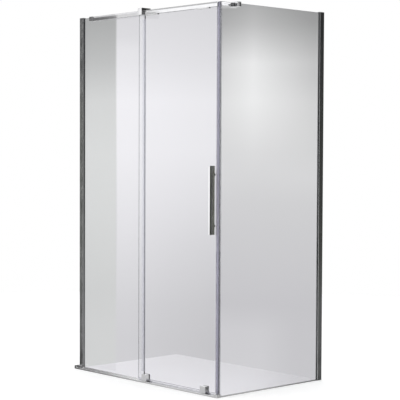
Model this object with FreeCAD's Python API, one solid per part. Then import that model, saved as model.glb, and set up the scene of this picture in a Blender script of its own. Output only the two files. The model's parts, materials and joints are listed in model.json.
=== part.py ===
import FreeCAD, Part
import math
import os

os.makedirs("parts", exist_ok=True)

# Corner shower enclosure: a fixed pane and a sliding door along the front, a side pane at the right,
# hung from one header rail. Millimetres, +Z up. The origin lies on the floor, halfway along the front
# panes, under the middle of the door glass. +X runs along the sill, +Y runs into the enclosure.

# Whole enclosure
front_width = 1182.0            # left wall to the outer face of the side glass
side_depth = 790.0              # front edge of the sill to the rear wall
pane_top = 2000.0               # floor to the top edge of the fixed and side glass
glass_thick = 8.0
glass_arris = 0.8

# Front panes
fixed_reach = 571.0             # left wall to the right edge of the fixed glass
pane_overlap = 26.0             # the door covers this much of the fixed glass
pane_gap = 14.5                 # between the door glass and the fixed glass
door_travel = 430.0
body_gap = 0.5                  # between the door and what it stops against

# Sill
sill_front = 25.0               # front edge to the middle of the door glass
sill_deck_depth = 33.0
sill_high = 9.0
sill_nose = 1.2
sill_wall = 2.0
sill_flange_high = 3.0
sill_ramp = 3.0
guide_rib_wide = 3.0
guide_rib_high = 4.5
glazing_rib_wide = 2.0
glazing_rib_high = 2.5
glazing_rib_clear = 0.7
flange_back = 5.3               # flange behind the rear glazing rib
end_block_long = 20.0
end_block_deep = 30.0
end_block_high = 18.0
end_block_round = 2.0
end_tongue_long = 12.0
end_tongue_clear = 0.15
end_block_proud = 4.0           # past the outer face of the side glass
block_glass_clear = 0.3         # around the side glass where it stands in the right block
setting_strip_thick = 1.0
setting_strip_trim = 0.3        # gap from the setting strip to each glazing rib

# Wall profiles
profile_deep = 32.0             # away from the wall
profile_thick = 20.0
profile_wall = 1.8
profile_web = 2.0
profile_cap_thick = 3.0
profile_cap_peg = 8.0
cap_peg_clear = 0.2
glazing_start = 8.0             # wall to the back of the glazing channel
glazing_clear = 0.2
glazing_wall = 1.6
glazing_recess = 1.0            # the glazing channel ends this far inside the profile
glass_in_profile = 14.0         # wall to the edge of the glass
gasket_deep = 8.0
gasket_nose = 0.6
wall_hole_radius = 3.0
wall_hole_end = 100.0           # end of the profile to its nearest wall hole
wall_hole_count = 4
profile_screw_radius = 2.0
profile_screw_clear = 0.1
profile_screw_head = 3.6
profile_screw_head_thick = 1.6
profile_screw_from_wall = 20.0
profile_screw_end = 300.0       # end of the profile to its nearest screw
profile_screw_count = 3

# Floor strip under the side glass
strip_base = 3.0
strip_wall = 2.0
strip_high = 5.5
strip_end_gap = 0.3

# Magnetic closing profiles
post_wide = 16.0                # along X, inward from the outer face of the side glass
post_front = 6.0                # in front of the middle of the door glass
side_glass_front = -2.0         # from the middle of the door glass; below zero is in front
post_wall = 1.5
magnet_wide = 8.0
magnet_thick = 4.0
magnet_clear = 0.1
door_nose = 8.5                 # closing profile past the door glass
door_seal_leg = 3.0
seal_wall = 1.2

# Header rail
header_deep = 24.0
header_high = 24.0
header_wall = 2.0
header_bevel_high = 8.0
header_bevel_deep = 2.0
inner_bevel_high = 3.0
inner_bevel_deep = 1.5
ledge_low = 7.0                 # header underside to the underside of the ledges
ledge_thick = 2.0
slot_half = 4.6
header_left = 128.0             # left wall to the left end of the rail
return_end = 93.0               # end of the return rail behind the middle of the door glass

# Bracket at the left end of the rail
bracket_long = 30.0
bracket_end_wall = 4.0
bracket_jaw = 4.0               # in front of the rail
bracket_grub_rise = 8.0         # above the underside of the rail
bracket_bolt_drop = 15.0        # below the top of the glass
bracket_glass_clear = 1.5       # above the door glass as it passes under the end wall
clamp_pad = 0.8
bracket_pad_radius = 8.0
disc_radius = 9.0
disc_thick = 5.0
disc_edge = 1.0
glass_bolt_radius = 3.0
glass_bolt_head = 5.5
glass_bolt_head_high = 3.0
glass_hole_radius = 5.0
glass_bolt_grip = 4.0           # length of bolt in the bracket

# Saddle clamp at the middle of the rail
mid_clamp_past = 20.5           # past the edge of the fixed glass
mid_clamp_long = 32.0
mid_clamp_rise = 13.0
mid_jaw_proud = 13.0            # in front of the rail
mid_jaw_deep = 11.7
mid_grub_inset = 6.0            # from the edge of the fixed glass
inner_jaw_drop = 19.0           # below the top of the glass
clamp_round = 1.2

# Saddle clamp on the side glass
side_clamp_wide = 27.0          # along Y
side_clamp_rise = 6.0
side_clamp_proud = 20.0         # outside the side glass
side_clamp_spigot = 12.0
spigot_clear = 0.3

# Grub screws of the clamps
grub_radius = 3.0
grub_socket = 1.5
grub_socket_deep = 3.0
grub_sunk = 1.0
grub_step = 14.0
grub_drop = 10.0                # below the top of the glass

# Corner angle inside the header
angle_wide = 8.0
angle_thick = 4.0
angle_leg = 30.0
angle_screw_radius = 1.5
angle_screw_head = 2.8
angle_screw_head_high = 2.0
angle_screw_bite = 1.2
angle_screw_shares = (0.4, 0.85)   # of the leg of the angle

# Door glass and its bottom seal
door_bottom = 18.0
door_into_header = 2.5
drip_wall = 1.2
drip_leg = 2.5
drip_lip_gap = 0.6
drip_shoe_gap = 0.5

# Hangers, carriages and rollers
hanger_inset = 55.0             # left edge of the door glass to the left hanger
right_inset = 59.5              # right edge of the door glass to the right hanger and shoe
hanger_long = 100.0
hanger_deep = 17.0
hanger_drop = 7.0               # below the top of the door glass
hanger_web = 3.8
hanger_round = 1.0
carriage_deep = 8.0
carriage_high = 9.0
carriage_lift = 1.0             # above the ledges
roller_radius = 4.8
roller_wide = 4.2
roller_crown = 0.4
roller_lift = 0.3
roller_step = 70.0              # between the two axles of a carriage
bearing_radius = 3.0
axle_radius = 1.5
axle_clear = 0.05
axle_head_radius = 2.4
axle_head_thick = 0.6
axle_end_gap = 0.2
hanger_bolt_radius = 3.0
hanger_bolt_step = 40.0
hanger_bolt_head = 4.4
hanger_bolt_head_high = 1.8
hanger_nut_flats = 8.0
hanger_nut_thick = 3.0
hanger_grub_radius = 2.0
hanger_grub_rise = 3.5          # above the bottom of the hanger
hanger_grub_step = 80.0

# Door stops inside the header
stop_long = 16.0
stop_deep = 16.0
stop_high = 10.0
buffer_long = 4.0
buffer_round = 1.5
stop_screw_radius = 2.5
stop_screw_head = 6.0
stop_screw_head_high = 2.0
stop_screw_bite = 6.0

# Guide shoes at the foot of the door
shoe_inset = 50.0               # left edge of the door glass to the left shoe
shoe_long = 39.0
shoe_front = 23.0
shoe_back = 9.5
shoe_step = 15.0                # height at which the back plate stands
shoe_ridge_foot = 0.8           # half width of the ridge at its foot
shoe_ridge_head = 1.3
shoe_ridge_high = 2.0
shoe_ridge_clear = 0.1
shoe_low = 10.0
shoe_high = 37.0
shoe_round = 1.5
insert_half = 4.0
insert_high = 5.0
insert_top = 1.0
rib_clear = 0.3
shoe_screw_radius = 3.0
shoe_screw_rise = 22.0

# Handle
handle_wide = 12.5
handle_proud = 34.0
handle_long = 350.0
handle_middle = 1000.0
handle_from_edge = 13.0         # edge of the door glass to the side of the handle
handle_edge = 1.0
handle_pad = 0.5
recess_deep = 0.6
recess_wide = 14.0
recess_margin = 22.0
inner_disc_radius = 6.2
inner_disc_thick = 4.0
inner_disc_edge = 0.8
handle_bolt_step = 260.0
handle_bolt_radius = 2.5
handle_bolt_head = 4.5
handle_bolt_head_high = 2.6
handle_bolt_bite = 14.0
handle_hole_radius = 4.0
handle_grub_radius = 2.0
handle_grub_long = 3.5
handle_grub_inset = 21.0

# Edge seal of the fixed glass
edge_seal_leg = 8.0
edge_seal_wall = 1.2
edge_fin_thick = 1.0
edge_fin_gap = 0.4              # to the door glass
edge_seal_low = 55.0
edge_seal_below_top = 42.0

overrun = 5.0

# Places that follow from the sizes above
left_wall = -front_width / 2
side_outer = front_width / 2
side_inner = side_outer - glass_thick
side_middle = side_outer - glass_thick / 2
rear_wall = side_depth - sill_front
half_glass = glass_thick / 2
fixed_front = half_glass + pane_gap
fixed_middle = fixed_front + half_glass
fixed_back = fixed_front + glass_thick
fixed_right = left_wall + fixed_reach
post_face = side_outer - post_wide
door_close = post_face - body_gap
door_right = door_close - door_nose
door_left = fixed_right - pane_overlap
half_header = header_deep / 2
header_low = pane_top - header_high
ledge_under = header_low + ledge_low
ledge_top = ledge_under + ledge_thick
chamber_top = pane_top - header_wall
chamber_half = half_header - header_wall
header_start = left_wall + header_left
header_end = post_face - body_gap
door_top = header_low + door_into_header
door_seal_top = header_low - body_gap


def box(x0, x1, y0, y1, z0, z1):
    corner = FreeCAD.Vector(min(x0, x1), min(y0, y1), min(z0, z1))
    return Part.makeBox(abs(x1 - x0), abs(y1 - y0), abs(z1 - z0), corner)


def rod(radius, start, end):
    start = FreeCAD.Vector(*start)
    run = FreeCAD.Vector(*end) - start
    return Part.makeCylinder(radius, run.Length, start, run)


def prism(points, run):
    """A closed outline of points, pushed along the run."""
    vectors = [FreeCAD.Vector(*point) for point in points]
    face = Part.Face(Part.makePolygon(vectors + vectors[:1]))
    return face.extrude(FreeCAD.Vector(*run))


def soften(shape, radius, axis):
    """Rounds the straight edges that run along one axis."""
    chosen = []
    for edge in shape.Edges:
        run = edge.Vertexes[-1].Point - edge.Vertexes[0].Point
        along = abs((run.x, run.y, run.z)[axis])
        if run.Length > 0 and along > 0.999 * run.Length:
            chosen.append(edge)
    return shape.makeFillet(radius, chosen)


def pane(x0, x1, y0, y1, z0, z1):
    plain = box(x0, x1, y0, y1, z0, z1)
    return plain.makeChamfer(glass_arris, plain.Edges)


def save(node, shapes):
    if isinstance(shapes, list):
        shape = Part.makeCompound(shapes)
    else:
        shape = shapes
    for solid in shape.Solids:
        if not solid.isValid():
            print("not valid:", node)
    shape.exportStep("parts/" + node + ".step")


# Sill, its end blocks and the strip that the fixed glass stands on

rib_front = fixed_front - glazing_rib_clear
rib_back = fixed_back + glazing_rib_clear
flange_end = rib_back + glazing_rib_wide + flange_back
deck_end = sill_deck_depth - sill_front
sill_start = left_wall + end_block_long
sill_end = post_face


def sill():
    rib = guide_rib_wide / 2
    rib_top = sill_high + guide_rib_high
    glazing_top = sill_flange_high + glazing_rib_high
    outline = [
        (-sill_front, 0),
        (-sill_front, sill_high - sill_nose),
        (sill_nose - sill_front, sill_high),
        (-rib, sill_high),
        (-rib, rib_top),
        (rib, rib_top),
        (rib, sill_high),
        (deck_end, sill_high),
        (deck_end + sill_ramp, sill_flange_high),
        (rib_front - glazing_rib_wide, sill_flange_high),
        (rib_front - glazing_rib_wide, glazing_top),
        (rib_front, glazing_top),
        (rib_front, sill_flange_high),
        (rib_back, sill_flange_high),
        (rib_back, glazing_top),
        (rib_back + glazing_rib_wide, glazing_top),
        (rib_back + glazing_rib_wide, sill_flange_high),
        (flange_end, sill_flange_high),
        (flange_end, 0),
    ]
    points = [(sill_start, y, z) for y, z in outline]
    body = prism(points, (sill_end - sill_start, 0, 0))
    hollow = box(sill_start - overrun, sill_end + overrun,
                 sill_wall + sill_nose - sill_front, deck_end - sill_wall,
                 sill_wall, sill_high - sill_wall)
    profile_notch = box(sill_start - overrun, left_wall + profile_deep + strip_end_gap,
                        fixed_middle - profile_thick / 2 - strip_end_gap, flange_end + overrun,
                        -overrun, sill_high + overrun)
    return body.cut(hollow).cut(profile_notch)


def end_block(outer, inner):
    """A block over one end of the sill, with a tongue inside the sill's hollow."""
    towards = 1 if inner > outer else -1
    block = box(outer, inner, -sill_front, end_block_deep - sill_front, 0, end_block_high)
    block = soften(block, end_block_round, 2)
    tongue = box(inner - towards * sill_wall, inner + towards * end_tongue_long,
                 sill_wall + sill_nose - sill_front + end_tongue_clear,
                 deck_end - sill_wall - end_tongue_clear,
                 sill_wall + end_tongue_clear, sill_high - sill_wall - end_tongue_clear)
    return block.fuse(tongue).removeSplitter()


def right_end_block():
    """The right block, cut away where the side glass stands in it."""
    glass_place = box(side_inner - block_glass_clear, side_outer + block_glass_clear,
                      side_glass_front - block_glass_clear, end_block_deep,
                      strip_base, end_block_high + overrun)
    return end_block(side_outer + end_block_proud, sill_end).cut(glass_place)


def setting_strip():
    return box(left_wall + profile_deep + strip_end_gap, fixed_right,
               rib_front + setting_strip_trim, rib_back - setting_strip_trim,
               sill_flange_high, sill_flange_high + setting_strip_thick)


save("sill", sill())
save("sill_end_block_left", end_block(left_wall, sill_start))
save("sill_end_block_right", right_end_block())
save("fixed_glass_setting_strip", setting_strip())


# Wall profiles, made once with X away from the wall and Y through the glass

half_profile = profile_thick / 2
half_glazing = half_profile - profile_wall - glazing_clear
glazing_end = profile_deep - glazing_recess


def spread_heights(end_distance, count):
    """Heights evenly spread up the profile, the first and last this far from its ends."""
    step = (pane_top - 2 * end_distance) / (count - 1)
    return [end_distance + step * i for i in range(count)]


wall_hole_heights = spread_heights(wall_hole_end, wall_hole_count)
profile_screw_heights = spread_heights(profile_screw_end, profile_screw_count)


def screw_hole(inside, height):
    radius = profile_screw_radius + profile_screw_clear
    start = (profile_screw_from_wall, inside * (half_glazing - glazing_wall - overrun / 2), height)
    end = (profile_screw_from_wall, inside * (half_profile + overrun), height)
    return rod(radius, start, end)


def wall_profile(inside):
    low = profile_cap_thick
    body = box(0, profile_deep, -half_profile, half_profile, low, pane_top)
    body = soften(body, glass_arris, 2)
    channel = box(profile_web, profile_deep + overrun,
                  profile_wall - half_profile, half_profile - profile_wall,
                  low - overrun, pane_top + overrun)
    body = body.cut(channel)
    for height in wall_hole_heights:
        body = body.cut(rod(wall_hole_radius, (-overrun, 0, height), (profile_web + overrun, 0, height)))
    for height in profile_screw_heights:
        body = body.cut(screw_hole(inside, height))
    return body


def glazing_channel(inside):
    low = profile_cap_thick
    body = box(glazing_start, glazing_end, -half_glazing, half_glazing, low, pane_top)
    inner = box(glazing_start + glazing_wall, glazing_end + overrun,
                glazing_wall - half_glazing, half_glazing - glazing_wall,
                low - overrun, pane_top + overrun)
    body = body.cut(inner)
    for height in profile_screw_heights:
        body = body.cut(screw_hole(inside, height))
    return body


def gasket(side):
    thick = half_glazing - glazing_wall
    start = glazing_end - gasket_deep
    nose = glazing_end + gasket_nose
    points = [
        (start, side * half_glass, profile_cap_thick),
        (nose, side * half_glass, profile_cap_thick),
        (nose, side * (thick - gasket_nose), profile_cap_thick),
        (glazing_end, side * thick, profile_cap_thick),
        (start, side * thick, profile_cap_thick),
    ]
    return prism(points, (0, 0, pane_top - profile_cap_thick))


def profile_screw(inside, height):
    tip = (profile_screw_from_wall, inside * (half_glazing - glazing_wall), height)
    seat = (profile_screw_from_wall, inside * half_profile, height)
    top = (profile_screw_from_wall, inside * (half_profile + profile_screw_head_thick), height)
    shank = rod(profile_screw_radius, tip, seat)
    head = rod(profile_screw_head, seat, top)
    rim = [edge for edge in head.Edges if abs(edge.Vertexes[0].Point.y - top[1]) < glass_arris / 2]
    head = head.makeFillet(profile_screw_head_thick / 2, [rim[0]])
    return shank.fuse(head).removeSplitter()


def profile_cap(plate_low, peg_up):
    plate = box(0, profile_deep, -half_profile, half_profile, plate_low, plate_low + profile_cap_thick)
    plate = soften(plate, glass_arris, 2)
    peg_half = half_profile - profile_wall - cap_peg_clear
    if peg_up:
        peg_low = plate_low
        peg_high = plate_low + profile_cap_thick + profile_cap_peg
    else:
        peg_low = plate_low - profile_cap_peg
        peg_high = plate_low + profile_cap_thick
    peg = box(profile_web + cap_peg_clear, glazing_start - cap_peg_clear,
              -peg_half, peg_half, peg_low, peg_high)
    return plate.fuse(peg).removeSplitter()


def at_left_wall(shape):
    shape.translate(FreeCAD.Vector(left_wall, fixed_middle, 0))
    return shape


def at_rear_wall(shape):
    shape.rotate(FreeCAD.Vector(0, 0, 0), FreeCAD.Vector(0, 0, 1), -90)
    shape.translate(FreeCAD.Vector(side_middle, rear_wall, 0))
    return shape


gaskets = []
profile_screws = []
top_caps = []
feet = []
for place, name, inside in ((at_left_wall, "left", 1), (at_rear_wall, "rear", -1)):
    save("wall_profile_" + name, place(wall_profile(inside)))
    save("glazing_channel_" + name, place(glazing_channel(inside)))
    gaskets.extend(place(gasket(side)) for side in (-1, 1))
    profile_screws.extend(place(profile_screw(inside, height)) for height in profile_screw_heights)
    top_caps.append(place(profile_cap(pane_top, False)))
    feet.append(place(profile_cap(0, True)))
save("glazing_gaskets", gaskets)
save("profile_screws", profile_screws)
save("profile_top_caps", top_caps)
save("profile_feet", feet)


# Fixed glass and its edge seal

bracket_start = header_start - bracket_end_wall
bracket_end = bracket_start + bracket_long
glass_bolt_x = (bracket_start + bracket_end) / 2
glass_bolt_z = pane_top - bracket_bolt_drop
bracket_grub_z = header_low + bracket_grub_rise


def fixed_glass():
    low = sill_flange_high + setting_strip_thick
    glass = pane(left_wall + glass_in_profile, fixed_right, fixed_front, fixed_back, low, pane_top)
    hole = rod(glass_hole_radius, (glass_bolt_x, fixed_front - overrun, glass_bolt_z),
               (glass_bolt_x, fixed_back + overrun, glass_bolt_z))
    return glass.cut(hole)


def fixed_edge_seal():
    low = edge_seal_low
    run = pane_top - edge_seal_below_top - low
    outer = fixed_right + edge_seal_wall
    clip = box(fixed_right - edge_seal_leg, outer,
               fixed_front - edge_seal_wall, fixed_back + edge_seal_wall, low, low + run)
    clip = clip.cut(box(fixed_right - edge_seal_leg - overrun, fixed_right,
                        fixed_front, fixed_back, low - overrun, low + run + overrun))
    root = fixed_front - edge_seal_wall
    tip = half_glass + edge_fin_gap
    slant = edge_seal_leg / 2
    points = [
        (outer, root, low),
        (outer - edge_fin_thick, root, low),
        (outer - edge_fin_thick - slant, tip, low),
        (outer - slant, tip, low),
    ]
    fin = prism(points, (0, 0, run))
    return clip.fuse(fin).removeSplitter()


save("fixed_glass", fixed_glass())
save("fixed_glass_edge_seal", fixed_edge_seal())


# Side glass, its floor strip and its magnetic closing profile


def side_glass():
    return pane(side_inner, side_outer, side_glass_front, rear_wall - glass_in_profile,
                strip_base, pane_top)


def side_floor_strip():
    start = end_block_deep - sill_front + strip_end_gap
    end = rear_wall - profile_deep - strip_end_gap
    body = box(side_inner - strip_wall, side_outer + strip_wall, start, end, 0, strip_high)
    return body.cut(box(side_inner, side_outer, start - overrun, end + overrun,
                        strip_base, strip_high + overrun))


def closing_post():
    """A strip over the front edge of the side glass, with a groove for its magnet."""
    low = end_block_high
    half_pocket = magnet_wide / 2 + magnet_clear
    back = half_pocket + post_wall
    body = box(post_face, side_outer + seal_wall, -post_front, back, low, pane_top)
    body = soften(body, glass_arris, 2)
    pocket = box(post_face - overrun, post_face + magnet_thick + magnet_clear,
                 -half_pocket, half_pocket, low - overrun, pane_top + overrun)
    glass_place = box(side_inner, side_outer, side_glass_front, back + overrun,
                      low - overrun, pane_top + overrun)
    return body.cut(pocket).cut(glass_place)


def closing_magnet(face, towards, low, high):
    half = magnet_wide / 2
    return box(face, face + towards * magnet_thick, -half, half, low, high)


save("side_glass", side_glass())
save("side_floor_strip", side_floor_strip())
save("side_closing_profile", closing_post())
save("side_closing_magnet", closing_magnet(post_face, 1, end_block_high, pane_top))


# Header rail and the return rail that ties it to the side glass

return_middle = header_end - half_header
grub_height = pane_top - grub_drop


def rail_outline():
    return [
        (-half_header, header_low),
        (-half_header, pane_top - header_bevel_high),
        (header_bevel_deep - half_header, pane_top),
        (half_header, pane_top),
        (half_header, header_low),
        (chamber_half, header_low),
        (chamber_half, ledge_under),
        (slot_half, ledge_under),
        (slot_half, ledge_top),
        (chamber_half, ledge_top),
        (chamber_half, chamber_top),
        (inner_bevel_deep - chamber_half, chamber_top),
        (-chamber_half, chamber_top - inner_bevel_high),
        (-chamber_half, ledge_top),
        (-slot_half, ledge_top),
        (-slot_half, ledge_under),
        (-chamber_half, ledge_under),
        (-chamber_half, header_low),
    ]


def mitre_wedge():
    """All that lies behind the diagonal where the two rails meet."""
    reach = return_end + 2 * header_deep
    points = [
        (header_end + overrun, -half_header - overrun, header_low - overrun),
        (header_end + reach, -half_header - overrun, header_low - overrun),
        (header_end + reach, reach, header_low - overrun),
        (header_end - reach - half_header, reach, header_low - overrun),
    ]
    return prism(points, (0, 0, header_high + 2 * overrun))


def header_rail():
    points = [(header_start, y, z) for y, z in rail_outline()]
    return prism(points, (header_end - header_start, 0, 0)).cut(mitre_wedge())


def return_rail():
    """The same section with its bevelled face turned outward, shallower behind the header."""
    points = [(return_middle - y, -half_header, z) for y, z in rail_outline()]
    run = return_end + half_header
    skirt = box(return_middle - header_deep, return_middle + header_deep,
                half_header, return_end + overrun, header_low - overrun, ledge_under)
    return prism(points, (0, run, 0)).common(mitre_wedge()).cut(skirt)


def corner_angle():
    high = chamber_top
    low = chamber_top - angle_thick
    half = angle_wide / 2
    along = box(return_middle - half - angle_leg, return_middle + half, -half, half, low, high)
    back = box(return_middle - half, return_middle + half, -half, half + angle_leg, low, high)
    angle = along.fuse(back).removeSplitter()
    for place in angle_screw_places():
        angle = angle.cut(rod(angle_screw_radius, (place[0], place[1], low - overrun),
                              (place[0], place[1], high + overrun)))
    return angle


def angle_screw_places():
    half = angle_wide / 2
    reaches = [half + share * angle_leg for share in angle_screw_shares]
    along = [(return_middle - reach, 0) for reach in reaches]
    back = [(return_middle, reach) for reach in reaches]
    return along + back


def angle_screw(place):
    seat = chamber_top - angle_thick
    shank = rod(angle_screw_radius, (place[0], place[1], seat),
                (place[0], place[1], chamber_top + angle_screw_bite))
    head = rod(angle_screw_head, (place[0], place[1], seat - angle_screw_head_high),
               (place[0], place[1], seat))
    return shank.fuse(head).removeSplitter()


def rails_with_screw_holes(rail):
    for place in angle_screw_places():
        rail = rail.cut(rod(angle_screw_radius, (place[0], place[1], chamber_top - overrun / 2),
                            (place[0], place[1], chamber_top + angle_screw_bite)))
    return rail


save("header_rail", rails_with_screw_holes(header_rail()))
save("return_rail", rails_with_screw_holes(return_rail()))
save("corner_angle", corner_angle())
save("corner_angle_screws", [angle_screw(place) for place in angle_screw_places()])


# Bracket at the left end of the rail, bolted through the fixed glass


def left_bracket():
    back = fixed_front - clamp_pad
    body = box(bracket_start, bracket_end, -half_header - bracket_jaw, back, header_low, pane_top)
    body = soften(body, clamp_round, 2)
    body = body.cut(box(header_start, bracket_end + overrun, -half_header, half_header,
                        header_low - overrun, pane_top + overrun))
    body = body.cut(box(bracket_start - overrun, header_start + overrun, -chamber_half, chamber_half,
                        header_low - overrun, door_top + bracket_glass_clear))
    body = body.cut(rod(grub_radius, (glass_bolt_x, -half_header - bracket_jaw - overrun, bracket_grub_z),
                        (glass_bolt_x, overrun / 2 - half_header, bracket_grub_z)))
    return body.cut(rod(glass_bolt_radius, (glass_bolt_x, back - glass_bolt_grip, glass_bolt_z),
                        (glass_bolt_x, back + overrun, glass_bolt_z)))


def bolt_ring(radius, y0, y1):
    ring = rod(radius, (glass_bolt_x, y0, glass_bolt_z), (glass_bolt_x, y1, glass_bolt_z))
    return ring.cut(rod(glass_bolt_radius, (glass_bolt_x, y0 - overrun, glass_bolt_z),
                        (glass_bolt_x, y1 + overrun, glass_bolt_z)))


def bracket_disc():
    front = fixed_back + clamp_pad
    disc = bolt_ring(disc_radius, front, front + disc_thick)
    rim = [edge for edge in disc.Edges
           if edge.BoundBox.XLength > 2 * disc_radius - disc_edge
           and edge.BoundBox.YMin > front + disc_thick / 2]
    return disc.makeChamfer(disc_edge, rim)


def bracket_bolt():
    start = fixed_front - clamp_pad - glass_bolt_grip
    seat = fixed_back + clamp_pad + disc_thick
    shank = rod(glass_bolt_radius, (glass_bolt_x, start, glass_bolt_z), (glass_bolt_x, seat, glass_bolt_z))
    head = rod(glass_bolt_head, (glass_bolt_x, seat, glass_bolt_z),
               (glass_bolt_x, seat + glass_bolt_head_high, glass_bolt_z))
    socket = rod(grub_socket * 2, (glass_bolt_x, seat + glass_bolt_head_high / 2, glass_bolt_z),
                 (glass_bolt_x, seat + glass_bolt_head_high + overrun, glass_bolt_z))
    return shank.fuse(head).removeSplitter().cut(socket)


bracket_liners = [
    bolt_ring(bracket_pad_radius, fixed_front - clamp_pad, fixed_front),
    bolt_ring(glass_hole_radius, fixed_front, fixed_back),
    bolt_ring(disc_radius - disc_edge, fixed_back, fixed_back + clamp_pad),
]
save("rail_bracket_left", left_bracket())
save("bracket_inner_disc", bracket_disc())
save("bracket_bolt", bracket_bolt())


# Saddle clamps: one over the rail and the fixed glass, one over the side glass

mid_clamp_end = fixed_right + mid_clamp_past
mid_clamp_start = mid_clamp_end - mid_clamp_long
mid_grub_x = fixed_right - mid_grub_inset
mid_back = fixed_back + clamp_pad + mid_jaw_deep
side_clamp_start = return_end
side_clamp_end = return_end + side_clamp_wide
side_clamp_middle = (side_clamp_start + side_clamp_end) / 2
side_clamp_inner = return_middle - half_header
side_grub_y = [side_clamp_middle - grub_step / 2, side_clamp_middle + grub_step / 2]


def mid_clamp():
    top = pane_top + mid_clamp_rise
    body = box(mid_clamp_start, mid_clamp_end, -half_header - mid_jaw_proud, mid_back, header_low, top)
    body = soften(body, clamp_round, 0)
    body = body.cut(box(mid_clamp_start - overrun, mid_clamp_end + overrun, -half_header, half_header,
                        header_low - overrun, pane_top))
    slot_front = fixed_front - clamp_pad
    slot_back = fixed_back + clamp_pad
    body = body.cut(box(mid_clamp_start - overrun, mid_clamp_end + overrun, slot_front, slot_back,
                        header_low - overrun, pane_top + clamp_pad))
    body = body.cut(box(mid_clamp_start - overrun, mid_clamp_end + overrun, slot_back - overrun / 2,
                        mid_back + overrun, header_low - overrun, pane_top - inner_jaw_drop))
    return body.cut(rod(grub_radius, (mid_grub_x, slot_back - overrun / 2, grub_height),
                        (mid_grub_x, mid_back + overrun, grub_height)))


def side_clamp():
    top = pane_top + side_clamp_rise
    low = pane_top - inner_jaw_drop
    body = box(side_clamp_inner, side_outer + side_clamp_proud, side_clamp_start, side_clamp_end, low, top)
    body = soften(body, clamp_round, 1)
    slot = box(side_inner - clamp_pad, side_outer + clamp_pad, side_clamp_start - overrun,
               side_clamp_end + overrun, low - overrun, pane_top + clamp_pad)
    spigot_half = chamber_half - inner_bevel_deep - spigot_clear
    spigot = box(return_middle - spigot_half, return_middle + spigot_half,
                 side_clamp_start - side_clamp_spigot, side_clamp_start + clamp_round,
                 ledge_top + spigot_clear, chamber_top - spigot_clear)
    body = body.cut(slot).fuse(spigot).removeSplitter()
    for y in side_grub_y:
        body = body.cut(rod(grub_radius, (side_clamp_inner - overrun, y, grub_height),
                            (side_inner - clamp_pad + overrun / 2, y, grub_height)))
    return body


def saddle_pad(x0, x1, y0, y1, low, through_x):
    """A thin liner bent over the top edge of a pane."""
    if through_x:
        outer = box(x0 - clamp_pad, x1 + clamp_pad, y0, y1, low, pane_top + clamp_pad)
        inner = box(x0, x1, y0 - overrun, y1 + overrun, low - overrun, pane_top)
    else:
        outer = box(x0, x1, y0 - clamp_pad, y1 + clamp_pad, low, pane_top + clamp_pad)
        inner = box(x0 - overrun, x1 + overrun, y0, y1, low - overrun, pane_top)
    return outer.cut(inner)


def grub(radius, socket, tip, end):
    """A headless screw with a round socket at its end."""
    body = rod(radius, tip, end)
    run = FreeCAD.Vector(*end) - FreeCAD.Vector(*tip)
    run.normalize()
    mouth = FreeCAD.Vector(*end)
    floor = mouth - run * grub_socket_deep
    beyond = mouth + run * overrun
    return body.cut(rod(socket, tuple(floor), tuple(beyond)))


clamp_grubs = [
    grub(grub_radius, grub_socket, (mid_grub_x, fixed_back + clamp_pad, grub_height),
         (mid_grub_x, mid_back - grub_sunk, grub_height)),
    rod(grub_radius, (glass_bolt_x, grub_sunk - half_header - bracket_jaw, bracket_grub_z),
        (glass_bolt_x, -half_header, bracket_grub_z)),
]
for y in side_grub_y:
    clamp_grubs.append(grub(grub_radius, grub_socket, (side_inner - clamp_pad, y, grub_height),
                            (side_clamp_inner + grub_sunk, y, grub_height)))

save("rail_clamp_middle", mid_clamp())
save("rail_clamp_side", side_clamp())
saddle_liners = [
    saddle_pad(mid_clamp_start, fixed_right, fixed_front, fixed_back,
               pane_top - inner_jaw_drop, False),
    saddle_pad(side_inner, side_outer, side_clamp_start, side_clamp_end,
               pane_top - inner_jaw_drop, True),
]
save("clamp_liners", bracket_liners + saddle_liners)
save("clamp_grub_screws", clamp_grubs)


# Door stops inside the header, each with a rubber buffer

left_hanger = door_left + hanger_inset
right_hanger = door_right - right_inset - hanger_long
right_stop_face = right_hanger + hanger_long + body_gap
left_stop_face = left_hanger - door_travel - body_gap


def stop_parts(face, away):
    """The block, buffer and screw of one stop; away points from the carriage to the block."""
    near = face + away * buffer_long
    far = near + away * stop_long
    middle = (near + far) / 2
    half = stop_deep / 2
    block = box(near, far, -half, half, ledge_top, ledge_top + stop_high)
    block = block.cut(rod(stop_screw_radius, (middle, 0, ledge_top - overrun),
                          (middle, 0, ledge_top + stop_screw_bite)))
    rubber = box(face, near, -half / 2, half / 2, ledge_top + buffer_round, ledge_top + stop_high)
    rubber = soften(rubber, buffer_round, 0)
    screw = rod(stop_screw_radius, (middle, 0, ledge_under), (middle, 0, ledge_top + stop_screw_bite))
    head = rod(stop_screw_head, (middle, 0, ledge_under - stop_screw_head_high), (middle, 0, ledge_under))
    return block, rubber, screw.fuse(head).removeSplitter()


left_stop = stop_parts(left_stop_face, -1)
right_stop = stop_parts(right_stop_face, 1)
save("door_stops", [left_stop[0], right_stop[0]])
save("door_stop_buffers", [left_stop[1], right_stop[1]])
save("door_stop_screws", [left_stop[2], right_stop[2]])


# Door glass with its seals

half_bolt_step = handle_bolt_step / 2
handle_bolt_heights = [handle_middle - half_bolt_step, handle_middle + half_bolt_step]
handle_right = door_right - handle_from_edge
handle_left = handle_right - handle_wide
handle_x = (handle_left + handle_right) / 2
left_shoe = door_left + shoe_inset
right_shoe = door_right - right_inset - shoe_long


def door_glass():
    glass = pane(door_left, door_right, -half_glass, half_glass, door_bottom, door_top)
    for height in handle_bolt_heights:
        glass = glass.cut(rod(handle_hole_radius, (handle_x, -half_glass - overrun, height),
                              (handle_x, half_glass + overrun, height)))
    return glass


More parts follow.
